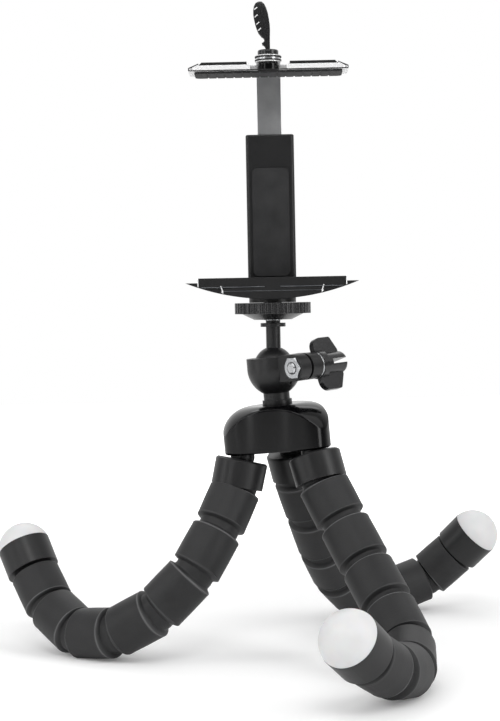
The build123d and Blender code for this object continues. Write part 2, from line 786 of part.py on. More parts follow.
def spine_cover():
    """Plate that closes the strip's channel from behind."""
    width = spine_width - 2 * cover_inset - 2 * clearance
    height = spine_top - pad_face - 2 * cover_inset - 2 * clearance
    plate = Box(width, cover_thickness, height, align=standing_before)
    plate = Pos(0, spine_front + spine_depth, pad_face + cover_inset + clearance) * plate
    for place in cover_screw_places():
        plate = plate - rod(place, Vector(0, -1, 0), cover_screw_radius + thread_clearance, cover_thickness)
    return plate


def cover_screws():
    """The two small screws of the cover."""
    screws = []
    for place in cover_screw_places():
        shank = rod(place, Vector(0, -1, 0), cover_screw_radius, cover_screw_length - clearance)
        head = rod(place, Vector(0, 1, 0), 2 * cover_screw_radius, cover_screw_head)
        screws.append(head + shank)
    return Compound(children=screws)


def stud_insert():
    """Hexagon insert in the lower jaw that takes the stud."""
    hexagon = RegularPolygon(insert_flats / 2, hexagon_sides, major_radius=False)
    insert = extrude(hexagon - Circle(stud_radius + thread_clearance), insert_thickness)
    return Pos(0, 0, insert_floor + clearance / 2) * insert


def jaw_pad(width, depth, thickness):
    """Rubber pad with rounded corners and shallow grooves across it, its face up at Z = 0."""
    plan = RectangleRounded(width, depth, pad_corner)
    pad = extrude(plan, -thickness)
    count = int(width / pad_rib_pitch / 2)
    for step in range(-count, count + 1):
        if abs(step * pad_rib_pitch) < width / 2 - pad_corner:
            pad = pad - Pos(step * pad_rib_pitch, 0, 0) * Box(pad_rib, depth, pad_rib)
    return pad


def lower_pad():
    """Pad that the phone stands on, between the lip and the spine."""
    front = -jaw_front + lip_thickness + pad_seat
    back = spine_front - pad_seat - back_pad_thickness
    pad = jaw_pad(pad_width, back - front, pad_thickness - pad_seat)
    return Pos(0, (front + back) / 2, pad_face) * pad


def back_pad():
    """Pad on the front of the spine."""
    face = RectangleRounded(back_pad_width, back_pad_height, pad_corner)
    pad = extrude(face, back_pad_thickness - pad_seat)
    middle = pad_face + cover_inset + back_pad_height / 2
    return Plane(origin=(0, spine_front - pad_seat, middle), x_dir=(1, 0, 0), z_dir=(0, -1, 0)) * pad


def brake_spring():
    """Bowed leaf spring in the spine that holds the strip by friction."""
    middle = spine_top - spring_length
    behind = strip_front + strip_thickness + clearance
    half = spring_length / 2
    outer = ThreePointArc((0, spring_bow, -half), (0, 0, 0), (0, spring_bow, half))
    inner = ThreePointArc((0, spring_bow + spring_thickness, half), (0, spring_thickness, 0),
                          (0, spring_bow + spring_thickness, -half))
    end = Line((0, spring_bow, half), (0, spring_bow + spring_thickness, half))
    start = Line((0, spring_bow + spring_thickness, -half), (0, spring_bow, -half))
    leaf = extrude(make_face(Curve() + [outer, end, inner, start]), spring_width / 2, both=True)
    return Pos(0, behind, middle) * leaf


# Phone clamp, upper half

trim_place = jaw_notch_width / 2 + trim_inset + trim_length / 2
thumb_place = -jaw_front + thumb_setback
strip_low = upper_jaw_low + jaw_boss_height + jaw_washer_thickness


def upper_jaw():
    """Bright jaw with a notch round its dark boss."""
    half_depth = upper_jaw_depth / 2
    plan = RectangleRounded(upper_jaw_width, upper_jaw_depth, jaw_corner_fillet)
    plan = plan - Pos(0, -half_depth) * Rectangle(jaw_notch_width, 2 * jaw_notch_depth)
    jaw = extrude(plan, upper_jaw_thickness)
    for side in (-1, 1):
        half = upper_jaw_width / 2
        wedge = Polyline((side * (half - jaw_end_run), 0, upper_jaw_thickness),
                         (side * (half + jaw_end_run), 0, upper_jaw_thickness - 2 * jaw_end_drop),
                         (side * (half + jaw_end_run), 0, upper_jaw_thickness + jaw_end_drop), close=True)
        jaw = jaw - extrude(make_face(wedge), upper_jaw_depth, both=True)
        place = side * trim_place
        rebate = Box(trim_length + 2 * clearance, trim_depth + clearance, trim_height / 2,
                     align=hanging_behind)
        jaw = jaw - Pos(place, -half_depth, upper_jaw_thickness) * rebate
    jaw = Pos(0, half_depth - jaw_front, upper_jaw_low) * jaw
    return jaw - Pos(0, thumb_place, upper_jaw_low) * extrude(Circle(jaw_boss_radius + thread_clearance),
                                                             upper_jaw_thickness)


def jaw_trim():
    """Dark strips along the front edge of the upper jaw."""
    strips = []
    low = upper_jaw_low + upper_jaw_thickness - trim_height / 2
    inner = trim_place - trim_length / 2
    outer = trim_place + trim_length / 2
    for side in (-1, 1):
        outline = Polyline((side * inner, -jaw_front, low), (side * outer, -jaw_front, low),
                           (side * (outer - trim_height), -jaw_front, low + trim_height),
                           (side * inner, -jaw_front, low + trim_height), close=True)
        strips.append(extrude(make_face(outline), trim_depth, dir=(0, 1, 0)))
    return Compound(children=strips)


def upper_pad():
    """Pad under the upper jaw."""
    pad = jaw_pad(pad_width, upper_jaw_depth - 2 * lip_thickness, pad_thickness - pad_seat)
    middle = upper_jaw_depth / 2 - jaw_front
    return Pos(0, middle, upper_pad_face) * Rot(X=half_turn) * pad


def jaw_boss():
    """Dark domed bush in the jaw's notch."""
    boss = extrude(Circle(jaw_boss_radius), jaw_boss_height - clearance / 2)
    boss = fillet(boss.faces().sort_by(Axis.Z)[-1].edges(), jaw_boss_dome)
    boss = boss - extrude(Circle(thumb_shank_radius + thread_clearance), jaw_boss_height)
    return Pos(0, thumb_place, upper_jaw_low) * boss


def jaw_washers():
    """Bright washers under and over the strip."""
    ring = Circle(jaw_washer_radius) - Circle(thumb_shank_radius + clearance)
    washer = extrude(ring, jaw_washer_thickness - clearance)
    places = (strip_low - jaw_washer_thickness + clearance / 2, strip_low + strip_thickness + clearance / 2)
    return Compound(children=[Pos(0, thumb_place, place) * washer for place in places])


def slide_bar():
    """Steel strip that runs up out of the spine and forward over the jaw."""
    back = strip_front + strip_thickness
    top = strip_low + strip_thickness
    tail = upper_pad_face - strip_tail
    inner_corner = (0, strip_front, strip_low)
    outer_corner = (0, back, top)
    side = make_face(Polyline((0, thumb_place, top), outer_corner, (0, back, tail), (0, strip_front, tail),
                              inner_corner, (0, thumb_place, strip_low), close=True))
    side = fillet(side.vertices().sort_by_distance(inner_corner)[0], strip_bend_radius)
    side = fillet(side.vertices().sort_by_distance(outer_corner)[0], strip_bend_radius + strip_thickness)
    strip = extrude(side, strip_width / 2, both=True)
    eye = Pos(0, thumb_place, strip_low) * extrude(Circle(strip_width / 2), strip_thickness)
    hole = Pos(0, thumb_place, strip_low) * extrude(Circle(thumb_shank_radius + clearance), strip_thickness)
    return strip + eye - hole


collar_low = strip_low + strip_thickness + jaw_washer_thickness


def thumb_screw():
    """Bright screw through the strip and the boss, its head inside the paddle's collar."""
    screw = rod(Vector(0, thumb_place, upper_jaw_low + clearance), Vector(0, 0, 1), thumb_shank_radius,
                collar_low - upper_jaw_low)
    head = rod(Vector(0, thumb_place, collar_low + clearance / 2), Vector(0, 0, 1), thumb_head_radius,
               thumb_head_height)
    return screw + head


def paddle_handle():
    """Moulded handle: collar, thin neck with a spur, and a leaf-shaped paddle with slanting ribs."""
    collar_disc = Pos(0, thumb_place, collar_low) * extrude(Circle(thumb_collar_radius), thumb_collar_height)
    collar_disc = fillet(collar_disc.faces().sort_by(Axis.Z)[-1].edges(), thumb_collar_fillet)
    space = extrude(Circle(thumb_head_radius + thread_clearance), thumb_head_height + clearance)
    neck_low = collar_low + thumb_collar_height
    neck = rod(Vector(0, thumb_place, neck_low), Vector(0, 0, 1), thumb_neck_radius, thumb_neck_height)
    spur_root = Vector(0, thumb_place, neck_low + thumb_neck_height / 2)
    spur = rod(spur_root, heading_vector(half_turn, thumb_spur_rise), thumb_spur_radius,
               thumb_neck_radius + thumb_spur)
    outline = Ellipse(paddle_length / 2, paddle_width / 2)
    leaf = extrude(outline, paddle_thickness / 2, both=True)
    ribs = []
    for step in range(paddle_rib_count):
        place = (step - (paddle_rib_count - 1) / 2) * paddle_rib_pitch
        rib = Rot(Z=paddle_rib_slant) * Rot(X=quarter_turn) * Cylinder(paddle_rib_radius, 2 * paddle_width)
        ribs.append(Pos(place, 0, paddle_thickness / 2) * rib)
    leaf_space = extrude(outline, 2 * paddle_thickness, both=True)
    for rib in ribs:
        leaf = leaf + (rib & leaf_space)
    plane = Plane(origin=(0, thumb_place, neck_low + thumb_neck_height - paddle_sink),
                  x_dir=heading_vector(0, quarter_turn + paddle_lean), z_dir=(0, -1, 0))
    leaf = plane * Pos(paddle_length / 2, 0, 0) * leaf
    return collar_disc + neck + spur + leaf - Pos(0, thumb_place, collar_low) * space


def build():
    """Every piece of the tripod by name, and the place of the table under them."""
    table = lowest_point("left", 0.0) + contact_squash
    parts = {
        "hub_housing": hub_housing(),
        "hub_base_plate": hub_base_plate(),
        "head_screw": head_screw(),
        "ball_socket": ball_socket(),
        "clamp_nut": clamp_nut(),
        "clamp_bolt": clamp_bolt(),
        "wing_washer": wing_washer(),
        "wing_handle": wing_handle(),
        "ball_stem": ball_stem(),
        "mount_stud": mount_stud(),
        "lock_disc": lock_disc(),
        "lower_jaw": lower_jaw(),
        "lower_pad": lower_pad(),
        "back_pad": back_pad(),
        "spine_cover": spine_cover(),
        "cover_screws": cover_screws(),
        "stud_insert": stud_insert(),
        "brake_spring": brake_spring(),
        "upper_jaw": upper_jaw(),
        "jaw_trim": jaw_trim(),
        "upper_pad": upper_pad(),
        "jaw_boss": jaw_boss(),
        "jaw_washers": jaw_washers(),
        "slide_bar": slide_bar(),
        "thumb_screw": thumb_screw(),
        "paddle_handle": paddle_handle(),
    }
    for leg in leg_lobes:
        settle = 0.0 if leg == "left" else settle_angle(leg, table - contact_squash)
        parts.update(leg_parts(leg, settle, table))
    return parts, table


def origin_shift(parts, table):
    """The move that puts the table at Z = 0 under the middle of the tripod."""
    boxes = [part.bounding_box() for part in parts.values()]
    low_x = min(box.min.X for box in boxes)
    high_x = max(box.max.X for box in boxes)
    low_y = min(box.min.Y for box in boxes)
    high_y = max(box.max.Y for box in boxes)
    return Vector(-(low_x + high_x) / 2, -(low_y + high_y) / 2, -table)


parts, table = build()
shift = origin_shift(parts, table)
for name, part in parts.items():
    export_step(Pos(shift) * part, f"parts/{name}.step")
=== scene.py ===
import json
import math

import bmesh
import bpy
import numpy as np
from mathutils import Matrix, Vector


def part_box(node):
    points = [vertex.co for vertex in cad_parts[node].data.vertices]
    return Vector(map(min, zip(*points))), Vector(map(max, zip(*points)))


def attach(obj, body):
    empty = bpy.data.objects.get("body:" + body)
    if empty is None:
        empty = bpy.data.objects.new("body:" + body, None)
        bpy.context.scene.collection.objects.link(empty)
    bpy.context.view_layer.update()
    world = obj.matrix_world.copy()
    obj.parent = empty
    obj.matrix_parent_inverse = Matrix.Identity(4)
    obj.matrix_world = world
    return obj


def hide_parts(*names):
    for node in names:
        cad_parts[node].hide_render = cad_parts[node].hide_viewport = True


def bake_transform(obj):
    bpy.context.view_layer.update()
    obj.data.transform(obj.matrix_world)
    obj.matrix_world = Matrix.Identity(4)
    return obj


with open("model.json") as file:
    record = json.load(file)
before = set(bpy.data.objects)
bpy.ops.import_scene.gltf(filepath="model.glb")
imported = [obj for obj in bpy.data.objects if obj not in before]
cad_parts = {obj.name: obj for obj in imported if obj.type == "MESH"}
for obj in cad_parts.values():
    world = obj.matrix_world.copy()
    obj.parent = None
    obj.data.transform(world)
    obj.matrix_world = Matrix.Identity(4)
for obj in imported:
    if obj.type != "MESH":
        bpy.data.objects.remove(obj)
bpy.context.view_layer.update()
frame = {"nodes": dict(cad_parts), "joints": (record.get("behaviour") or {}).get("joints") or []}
mm = 0.001
turn = 2 * math.pi
upright = Vector((0, 0, 1))
jointPlaces = {joint["name"]: Vector(joint["pos_m"]) for joint in frame["joints"] if "pos_m" in joint}


# Materials

def toLinear(hexColour):
    channels = [int(hexColour[place:place + 2], 16) / 255 for place in (1, 3, 5)]
    linear = [c / 12.92 if c <= 0.04045 else ((c + 0.055) / 1.055) ** 2.4 for c in channels]
    return (*linear, 1)


def linkSockets(tree, node, links):
    for name, source in links.items():
        tree.links.new(source, node.inputs[name])


def addNode(tree, kind, settings=None, links=None):
    # settings are sockets by name or number, the two stops of a colour ramp, or the node's own choices
    node = tree.nodes.new(kind)
    for name, value in (settings or {}).items():
        if name == "stops":
            for stop, (position, hexColour) in zip(node.color_ramp.elements, value):
                stop.position = position
                stop.color = toLinear(hexColour)
        elif isinstance(name, int) or name in node.inputs:
            node.inputs[name].default_value = value
        else:
            setattr(node, name, value)
    linkSockets(tree, node, links or {})
    return node


def startMaterial(name, sockets):
    material = bpy.data.materials.new(name)
    material.use_nodes = True
    tree = material.node_tree
    shader = tree.nodes["Principled BSDF"]
    for socket, value in sockets.items():
        shader.inputs[socket].default_value = value
    return material, tree, shader


# Each look below has a fine grain, and some a broad one too, as (distance between light spots, detail).
# colourBy and glossBy name the grain that colour and roughness follow. The relief follows the fine one

# ABS from a polished mould: black with a clear gloss and a faint waviness
glossyAbs = {
    "sockets": {"IOR": 1.53, "Specular IOR Level": 0.25},
    "dark": "#030304",
    "light": "#070708",
    "roughness": (0.12, 0.18),
    "fine": (4 * mm, 3),
    "broad": (9 * mm, 5),
    "colourBy": "fine",
    "glossBy": "broad",
    "relief": 0.5,
    "depth": 0.012 * mm,
    "edge": 0.35 * mm,
}

# The same with sink marks: shallow hollows that the wall draws in as it cools, seen as soft upright bands
sunkenAbs = {
    **glossyAbs,
    "sinks": {"spacing": 12.2 * mm, "depth": 0.42 * mm, "start": 2.03, "uneven": 0.8},
}

# ABS from a blasted mould: the same black, dulled. Its real grain of about 0.15 mm is too fine to show,
# so it is drawn at 0.3 mm
satinAbs = {
    "sockets": {"IOR": 1.53, "Specular IOR Level": 0.4},
    "dark": "#0e0e0f",
    "light": "#171718",
    "roughness": (0.34, 0.44),
    "fine": (0.3 * mm, 2),
    "broad": (6 * mm, 3),
    "colourBy": "fine",
    "glossBy": "broad",
    "relief": 0.5,
    "depth": 0.01 * mm,
    "edge": 0.25 * mm,
}

# Glass-filled nylon from a spark-eroded mould: charcoal, soft highlights, pale fibres under the skin
charcoalNylon = {
    "sockets": {"IOR": 1.53},
    "dark": "#161617",
    "light": "#252526",
    "roughness": (0.18, 0.28),
    "fine": (0.35 * mm, 4),
    "colourBy": "fine",
    "glossBy": "fine",
    "relief": 0.5,
    "depth": 0.012 * mm,
    "edge": 0.25 * mm,
}

# Polypropylene, moulded: milky white, slightly scuffed, and light goes a little way in
palePolypropylene = {
    "sockets": {"IOR": 1.49, "Subsurface Weight": 0.15, "Subsurface Scale": 1.5 * mm},
    "dark": "#cfcfd0",
    "light": "#d4d4d4",
    "roughness": (0.32, 0.45),
    "fine": (5 * mm, 5),
    "colourBy": "fine",
    "glossBy": "fine",
    "relief": 0.3,
    "depth": 0.01 * mm,
}

# Silicone rubber, moulded: black and matt with a faint bloom
blackRubber = {
    "sockets": {"IOR": 1.41},
    "dark": "#161617",
    "light": "#242425",
    "roughness": (0.6, 0.75),
    "fine": (0.4 * mm, 3),
    "broad": (8 * mm, 3),
    "colourBy": "broad",
    "glossBy": "fine",
    "relief": 0.5,
    "depth": 0.015 * mm,
}

# ABS with silver paint: metal flakes under a clear coat, so it stays bright from every side. Real flakes
# are about 0.05 mm and too fine to show, so they are drawn at 0.3 mm
silverPaint = {
    "sockets": {"Metallic": 0.25, "Coat Weight": 0.3},
    "dark": "#e9e9ea",
    "light": "#f4f4f4",
    "roughness": (0.28, 0.36),
    "fine": (0.3 * mm, 2),
    "colourBy": "fine",
    "glossBy": "fine",
    "relief": 0.3,
    "depth": 0.002 * mm,
    "edge": 0.3 * mm,
}

# Metals: their colour is in the reflection. The lines of their finish run along X. Real ones are too fine
# to show, so they are drawn coarser
metalLook = {
    "sockets": {"Metallic": 1.0},
    "broad": (6 * mm, 3),
    "stretch": (0.12, 1, 1),
    "colourBy": "broad",
    "glossBy": "fine",
    "relief": 0.4,
}

# Aluminium, rolled and anodised: pale, satin
satinAluminium = {
    **metalLook,
    "dark": "#c9cacc",
    "light": "#dfe0e1",
    "roughness": (0.26, 0.36),
    "fine": (0.25 * mm, 4),
    "depth": 0.004 * mm,
    "edge": 0.15 * mm,
}

# Steel, turned and zinc plated: slightly blue and brighter
zincPlatedSteel = {
    **metalLook,
    "dark": "#b9bbbe",
    "light": "#d6d7d8",
    "roughness": (0.2, 0.32),
    "fine": (0.6 * mm, 4),
    "depth": 0.003 * mm,
    "edge": 0.1 * mm,
}

# Steel, polished and chromed: a near mirror
chromedSteel = {
    **metalLook,
    "dark": "#d3d4d6",
    "light": "#e4e5e6",
    "roughness": (0.06, 0.14),
    "fine": (1.2 * mm, 4),
    "depth": 0.002 * mm,
    "edge": 0.1 * mm,
}

# Spring steel, rolled and tempered: dark grey with a dull shine
temperedSpringSteel = {
    **metalLook,
    "dark": "#5d5f63",
    "light": "#7b7d80",
    "roughness": (0.3, 0.42),
    "fine": (0.4 * mm, 4),
    "depth": 0.003 * mm,
    "edge": 0.1 * mm,
}
colourSpan = (0.3, 0.7)  # of the grain, from the dark colour to the light one
edgeSamples = 6
bandSpacing = math.pi / 10  # metres between the bands of a wave texture at scale 1


def grainedSurface(name, look):
    material, tree, shader = startMaterial(name, look["sockets"])
    place = addNode(tree, "ShaderNodeTexCoord").outputs["Object"]
    along = place
    if "stretch" in look:
        stretched = addNode(tree, "ShaderNodeMapping", {"Scale": look["stretch"]}, {"Vector": place})
        along = stretched.outputs["Vector"]
    grains = {}
    for grain, vector in (("fine", along), ("broad", place)):
        if grain in look:
            size, detail = look[grain]
            spots = addNode(tree, "ShaderNodeTexNoise", {"Scale": 1 / size, "Detail": detail},
                            {"Vector": vector})
            grains[grain] = spots.outputs["Fac"]
    stops = zip(colourSpan, (look["dark"], look["light"]))
    colour = addNode(tree, "ShaderNodeValToRGB", {"stops": stops}, {"Fac": grains[look["colourBy"]]})
    low, high = look["roughness"]
    gloss = addNode(tree, "ShaderNodeMapRange", {"To Min": low, "To Max": high},
                    {"Value": grains[look["glossBy"]]})
    relief = addNode(tree, "ShaderNodeBump", {"Strength": look["relief"], "Distance": look["depth"]},
                     {"Height": grains["fine"]})
    lowest = relief
    if "sinks" in look:
        sinks = look["sinks"]
        bands = addNode(tree, "ShaderNodeTexWave", {
            "Scale": bandSpacing / sinks["spacing"], "Detail": 1.0, "Phase Offset": sinks["start"],
            "Distortion": sinks["uneven"]}, {"Vector": place})
        lowest = addNode(tree, "ShaderNodeBump", {"Strength": 1.0, "Distance": sinks["depth"]},
                         {"Height": bands.outputs["Fac"]})
        linkSockets(tree, relief, {"Normal": lowest.outputs["Normal"]})
    if "edge" in look:
        softEdge = addNode(tree, "ShaderNodeBevel", {"Radius": look["edge"], "samples": edgeSamples})
        linkSockets(tree, lowest, {"Normal": softEdge.outputs["Normal"]})
    linkSockets(tree, shader, {
        "Base Color": colour.outputs["Color"],
        "Roughness": gloss.outputs["Result"],
        "Normal": relief.outputs["Normal"],
    })
    return material


# Closed-cell EVA foam with its moulded skin: dull grey, fine cells, and a paler painted highlight along the
# groove edges.
# Real cells are about 0.3 mm and too fine to show, so they are drawn at 0.45 mm
evaFoam = {
    "sockets": {
        "IOR": 1.45,
        "Sheen Weight": 0.05,
        "Sheen Roughness": 0.5,
        "Sheen Tint": toLinear("#8a8a8c"),
    },
    "dark": "#151516",
    "light": "#1f1f20",
    "colourSpan": (0.4, 0.85),
    # paler colour painted along the lips as their highlight
    "paintedHighlight": "#6c6c6d",
    "roughness": (0.46, 0.6),
    "cell": 0.45 * mm,
    "cellShare": 0.25,  # of the cells in the colour, beside the patches
    "patch": (7 * mm, 4),
    "highlightStrength": (0.3, 1.0),  # least and most of the painted highlight, from patch to patch
    "relief": 0.45,
    "depth": 0.05 * mm,
}


def mouldedEvaFoam():
    material, tree, shader = startMaterial("mouldedEvaFoam", evaFoam["sockets"])
    place = addNode(tree, "ShaderNodeTexCoord").outputs["Object"]
    voronoi = addNode(tree, "ShaderNodeTexVoronoi", {"Scale": 1 / evaFoam["cell"]}, {"Vector": place})
    cells = voronoi.outputs["Distance"]
    size, detail = evaFoam["patch"]
    noise = addNode(tree, "ShaderNodeTexNoise", {"Scale": 1 / size, "Detail": detail}, {"Vector": place})
    patches = noise.outputs["Fac"]
    mottle = addNode(tree, "ShaderNodeMath", {"operation": "MULTIPLY_ADD", 1: evaFoam["cellShare"]},
                     {0: cells, 2: patches})
    stops = zip(evaFoam["colourSpan"], (evaFoam["dark"], evaFoam["light"]))
    skin = addNode(tree, "ShaderNodeValToRGB", {"stops": stops}, {"Fac": mottle.outputs[0]})
    # how much painted highlight each ring of a sleeve carries, made patchy below
    lipHighlight = addNode(tree, "ShaderNodeAttribute", {"attribute_name": "lipHighlight"}).outputs["Fac"]
    low, high = evaFoam["highlightStrength"]
    uneven = addNode(tree, "ShaderNodeMapRange", {"To Min": low, "To Max": high}, {"Value": patches})
    highlightStrength = addNode(tree, "ShaderNodeMath", {"operation": "MULTIPLY"},
                      {0: lipHighlight, 1: uneven.outputs["Result"]})
    # of a colour mix, 6 and 7 are the two colours and output 2 is the mixed one
    colour = addNode(tree, "ShaderNodeMix", {"data_type": "RGBA", 7: toLinear(evaFoam["paintedHighlight"])},
                     {"Factor": highlightStrength.outputs[0], 6: skin.outputs["Color"]})
    low, high = evaFoam["roughness"]
    gloss = addNode(tree, "ShaderNodeMapRange", {"To Min": low, "To Max": high}, {"Value": patches})
    relief = addNode(tree, "ShaderNodeBump", {"Strength": evaFoam["relief"], "Distance": evaFoam["depth"]},
                     {"Height": cells})
    linkSockets(tree, shader, {
        "Base Color": colour.outputs[2],
        "Roughness": gloss.outputs["Result"],
        "Normal": relief.outputs["Normal"],
    })
    return material


materials = {
    "glossyAbs": grainedSurface("mouldedGlossyAbs", glossyAbs),
    "sunkenAbs": grainedSurface("sunkenGlossyAbs", sunkenAbs),
    "satinAbs": grainedSurface("mouldedSatinAbs", satinAbs),
    "charcoalNylon": grainedSurface("mouldedCharcoalNylon", charcoalNylon),
    "paleCap": grainedSurface("mouldedPalePolypropylene", palePolypropylene),
    "foam": mouldedEvaFoam(),
    "rubber": grainedSurface("mouldedBlackRubber", blackRubber),
    "silver": grainedSurface("paintedSilverAbs", silverPaint),
    "aluminium": grainedSurface("satinAluminium", satinAluminium),
    "plated": grainedSurface("zincPlatedSteel", zincPlatedSteel),
    "chrome": grainedSurface("chromedSteel", chromedSteel),
    "spring": grainedSurface("temperedSpringSteel", temperedSpringSteel),
}

nodeMaterials = {
    "sunkenAbs": ["hub_housing"],
    "glossyAbs": ["hub_base_plate", "jaw_boss"],
    "satinAbs": ["ball_socket", "ball_stem", "left_collar", "front_collar", "back_collar", "left_ferrule",
                 "front_ferrule", "back_ferrule", "lower_jaw", "spine_cover", "jaw_trim"],
    "charcoalNylon": ["wing_handle", "paddle_handle", "lock_disc"],
    "paleCap": ["left_foot_cap", "front_foot_cap", "back_foot_cap"],
    "rubber": ["lower_pad", "back_pad", "upper_pad"],
    "silver": ["upper_jaw", "jaw_washers"],
    "plated": ["head_screw", "clamp_nut", "clamp_bolt", "wing_washer", "cover_screws", "mount_stud",
               "stud_insert"],
    "chrome": ["thumb_screw"],
    "aluminium": ["slide_bar"],
    "spring": ["brake_spring"],
}
for materialName, nodeNames in nodeMaterials.items():
    for nodeName in nodeNames:
        frame["nodes"][nodeName].data.materials.clear()
        frame["nodes"][nodeName].data.materials.append(materials[materialName])
print("materials are on the CAD pieces")


# Mesh helpers

def finishMesh(name, mesh, material, slotName):
    built = bpy.data.meshes.new(name)
    bmesh.ops.recalc_face_normals(mesh, faces=mesh.faces)
    mesh.to_mesh(built)
    mesh.free()
    piece = bpy.data.objects.new(name, built)
    bpy.context.scene.collection.objects.link(piece)
    built.materials.append(materials[material])
    built.shade_smooth()
    return piece


def sharpShading(piece, angle=35):
    # smooth over soft edges, crisp at the others
    mesh = bmesh.new()
    mesh.from_mesh(piece.data)
    for edge in mesh.edges:
        if len(edge.link_faces) == 2:
            edge.smooth = edge.calc_face_angle() < math.radians(angle)
    mesh.to_mesh(piece.data)
    mesh.free()


def ringMesh(rings, lipHighlight=None, closed=True):
    # a tube through rings of points, each ring with its amount of painted highlight
    mesh = bmesh.new()
    layer = mesh.verts.layers.float.new("lipHighlight")
    rows = [[mesh.verts.new(point) for point in ring] for ring in rings]
    for row, amount in zip(rows, lipHighlight or []):
        for vertex in row:
            vertex[layer] = amount
    count = len(rows[0])
    for before, after in zip(rows[:-1], rows[1:]):
        for place in range(count):
            nextPlace = (place + 1) % count
            mesh.faces.new((before[place], before[nextPlace], after[nextPlace], after[place]))
    if closed:
        # the ends have points of their own, so that they don't pull the shading of the side
        for ring in (rings[0], rings[-1]):
            mesh.faces.new([mesh.verts.new(point) for point in ring])
    return mesh


def boxMesh(mesh, middle, size, tilt=0.0, edge=0.0):
    # adds a block to a mesh, turned about Y, with its edges taken off
    made = bmesh.ops.create_cube(mesh, size=1)["verts"]
    place = Matrix.Translation(middle) @ Matrix.Rotation(tilt, 4, "Y") @ Matrix.Diagonal((*size, 1))
    bmesh.ops.transform(mesh, matrix=place, verts=made)
    if edge:
        edges = list({e for vertex in made for e in vertex.link_edges})
        bmesh.ops.bevel(mesh, geom=edges, offset=edge, segments=2, profile=0.5, affect="EDGES")


def circle(point, direction, across, radius, count):
    side = (across - direction * across.dot(direction)).normalized()
    other = direction.cross(side)
    return [point + (side * math.cos(turn * step / count) + other * math.sin(turn * step / count)) * radius
            for step in range(count)]


def turnedRings(centre, profile, count=64):
    # rings of a piece turned about an upright axis, from (height, radius) pairs
    across = Vector((1, 0, 0))
    return [circle(centre + upright * height, upright, across, radius, count) for height, radius in profile]


def softened(corners, rounding, steps=5):
    # the line through flat corner points, with each inner corner rounded
    line = [Vector(corners[0])]
    for before, here, after in zip(corners[:-2], corners[1:-1], corners[2:]):
        here = Vector(here)
        toBefore = Vector(before) - here
        toAfter = Vector(after) - here
        reach = min(rounding, toBefore.length / 2, toAfter.length / 2)
        start = here + toBefore.normalized() * reach
        end = here + toAfter.normalized() * reach
        for step in range(steps + 1):
            share = step / steps
            line.append(start.lerp(here, share).lerp(here.lerp(end, share), share))
    return line + [Vector(corners[-1])]


def uniquePoints(nodeName):
    # points of a CAD piece, rounded to 0.01 mm
    points = np.array([vertex.co for vertex in frame["nodes"][nodeName].data.vertices])
    return np.unique(np.round(points, 5), axis=0)


def turnedEnds(nodeName):
    # both ends of the axis of a turned CAD piece
    points = uniquePoints(nodeName)
    centre = points.mean(0)
    spread, axes = np.linalg.eigh(np.cov((points - centre).T))
    axis = axes[:, 0 if spread[1] - spread[0] > spread[2] - spread[1] else 2]
    along = (points - centre) @ axis
    return Vector(centre + axis * along.min()), Vector(centre + axis * along.max())


def farRing(nodeName, start, tolerance=0.05 * mm):
    # middle of the ring of points that lies farthest from a point on the axis
    points = uniquePoints(nodeName)
    reach = np.linalg.norm(points - np.array(start), axis=1)
    return Vector(points[reach > reach.max() - tolerance].mean(0))


# Legs: one soft sleeve over a bendable wire, cut in the middle of its drums, where it never bends
leg = {
    "drums": 7,
    "fullRadius": 8.78 * mm,
    "neckRadius": 7.1 * mm,
    "neckHalf": 1.25 * mm,
    "shoulderRun": 0.75 * mm,
    "lipHeight": 0.1 * mm,
    "lipWidth": 0.7 * mm,
    "highlightPlace": 0.2,  # of the lip's width, where the painted highlight lies
    # how far the painted highlight reaches either side of that place
    "highlightReach": 0.4 * mm,
    "farHighlight": 0.25,  # the edge away from the hub gets less painted highlight
    "crown": 0.06 * mm,
    "rounding": 0.4 * mm,
    "leanShare": 0.18,  # of a drum's length, over which its end rings lean
    "plugRadius": 6.8 * mm,
    "plugLength": 4.4 * mm,
    "wireRadius": 1.6 * mm,
    "sleevePoints": 80,
    "wirePoints": 16,
    "wireShares": (0, 0.25, 0.5),  # of a drum's length
    "bendReach": 3.2 * mm,
}


def legStops(name):
    # collar end, grooves and ferrule start of a leg, with the sleeve's direction at each
    hinge = jointPlaces[f"{name}_root"]
    stops = [farRing(f"{name}_collar", hinge)]
    stops += [jointPlaces[f"{name}_neck_{number}"] for number in range(1, leg["drums"])]
    ends = sorted(turnedEnds(f"{name}_ferrule"), key=lambda end: (end - stops[-1]).length)
    directions = [(stops[0] - hinge).normalized()]
    stops.append(ends[0])
    for before, here, after in zip(stops[:-2], stops[1:-1], stops[2:]):
        directions.append(((here - before).normalized() + (after - here).normalized()).normalized())
    directions.append((ends[1] - ends[0]).normalized())
    return stops, directions


def drumPoint(start, end, startDirection, endDirection, share):
    # a drum is straight, and its end rings lean over to meet the next one
    drum = (end - start).normalized()
    square = min(share, 1 - share, leg["leanShare"]) / leg["leanShare"]
    edge = startDirection if share < 0.5 else endDirection
    return start + (end - start) * share, (edge * (1 - square) + drum * square).normalized()


def sleeveProfile(length):
    # share of the drum's length, radius and painted highlight, from the middle of a neck to the middle of
    # the drum
    shoulder = leg["neckHalf"] + leg["shoulderRun"]
    corners = [
        (0, leg["neckRadius"]),
        (leg["neckHalf"], leg["neckRadius"]),
        (shoulder, leg["fullRadius"] + leg["lipHeight"]),
        (shoulder + leg["lipWidth"], leg["fullRadius"]),
        (length / 2, leg["fullRadius"] + leg["crown"]),
    ]
    # middle of the painted highlight on the lip
    paintedHighlight = shoulder + leg["lipWidth"] * leg["highlightPlace"]
    return [(point.x / length, point.y, max(0, 1 - abs(point.x - paintedHighlight) / leg["highlightReach"]))
            for point in softened(corners, leg["rounding"])]


def wireProfile(length):
    # the same for the wire, which is plain
    return [(share, leg["wireRadius"], 0) for share in leg["wireShares"]]


